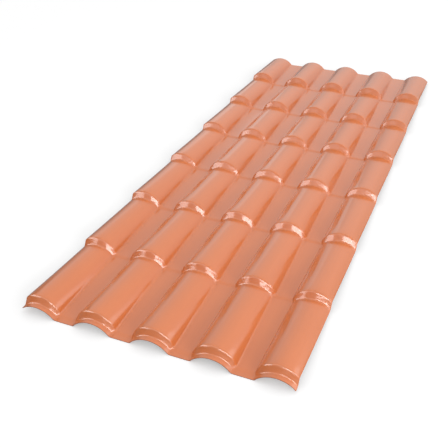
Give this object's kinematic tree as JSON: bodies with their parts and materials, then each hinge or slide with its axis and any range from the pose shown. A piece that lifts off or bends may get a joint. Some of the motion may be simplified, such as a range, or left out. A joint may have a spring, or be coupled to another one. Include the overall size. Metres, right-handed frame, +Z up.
{
  "type": "roofing sheet",
  "caption": "Thin moulded PVC roofing sheet: rounded waves run its length and stepped risers across them look like overlapping clay barrel tiles.",
  "frame": {"origin": "middle of the footprint, at the level the sheet rests on", "axes": "+X across the waves, +Y along the waves from the eaves end (with the short lip) to the ridge end, +Z up out of the weather side"},
  "size_m": [0.8514, 2.3, 0.0563],
  "materials": {
    "pvc": "smooth satin to glossy terracotta PVC, coloured right through"
  },
  "bodies": {
    "root": {"roofing_sheet": "pvc"}
  },
  "joints": []
}
